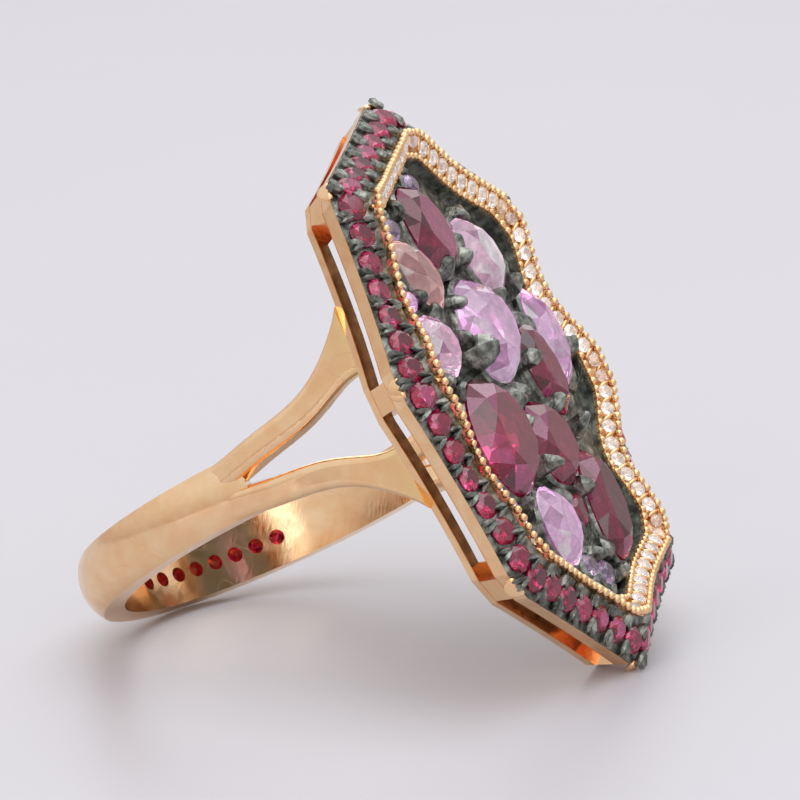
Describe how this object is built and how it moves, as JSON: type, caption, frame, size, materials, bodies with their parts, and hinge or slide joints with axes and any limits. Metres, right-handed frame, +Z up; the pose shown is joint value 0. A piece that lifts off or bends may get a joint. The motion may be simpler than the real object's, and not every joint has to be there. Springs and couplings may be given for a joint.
{
  "type": "cocktail ring",
  "caption": "Cocktail ring with a split shank, an open gallery and a long octagonal head set with coloured stones, lying on its side.",
  "frame": {"origin": "centre of the footprint on the table, with the ring lying on its side on the band's edge and the head's end", "axes": "+Z up from the table; +Y from the band towards the end of the head that the ring rests on; +X towards the side of the ring that is rolled up"},
  "size_m": [0.0218, 0.0258, 0.0232],
  "materials": {
    "rose_gold": "polished",
    "black_rhodium": "satin",
    "ruby": "polished",
    "pink_sapphire": "polished",
    "lilac_sapphire": "polished",
    "diamond": "polished"
  },
  "bodies": {
    "root": {"border_plate": "black_rhodium", "border_rubies_edge_1": "ruby", "border_rubies_edge_2": "ruby", "border_rubies_edge_3": "ruby", "border_rubies_edge_4": "ruby", "border_rubies_edge_5": "ruby", "border_rubies_edge_6": "ruby", "border_rubies_edge_7": "ruby", "border_rubies_edge_8": "ruby", "centre_claws": "black_rhodium", "centre_plate": "black_rhodium", "crest_diamonds": "diamond", "crest_rail": "rose_gold", "gallery_lower_rail": "rose_gold", "gallery_posts": "rose_gold", "gallery_upper_rail": "rose_gold", "lilac_round_end": "lilac_sapphire", "lilac_round_inner": "lilac_sapphire", "lilac_round_lower": "lilac_sapphire", "lilac_round_side": "lilac_sapphire", "lilac_round_waist": "lilac_sapphire", "lilac_sapphire_far": "lilac_sapphire", "lilac_sapphire_large": "lilac_sapphire", "lilac_sapphire_lower": "lilac_sapphire", "pink_sapphire_far": "pink_sapphire", "rose_sapphire_pear": "pink_sapphire", "rose_sapphire_round": "pink_sapphire", "ruby_cushion": "ruby", "ruby_long_far": "ruby", "ruby_oval_far": "ruby", "ruby_oval_large": "ruby", "ruby_oval_upper": "ruby", "ruby_small": "ruby", "shank": "rose_gold", "shank_rubies": "ruby", "violet_round_side": "lilac_sapphire", "violet_round_upper": "lilac_sapphire"}
  },
  "joints": []
}
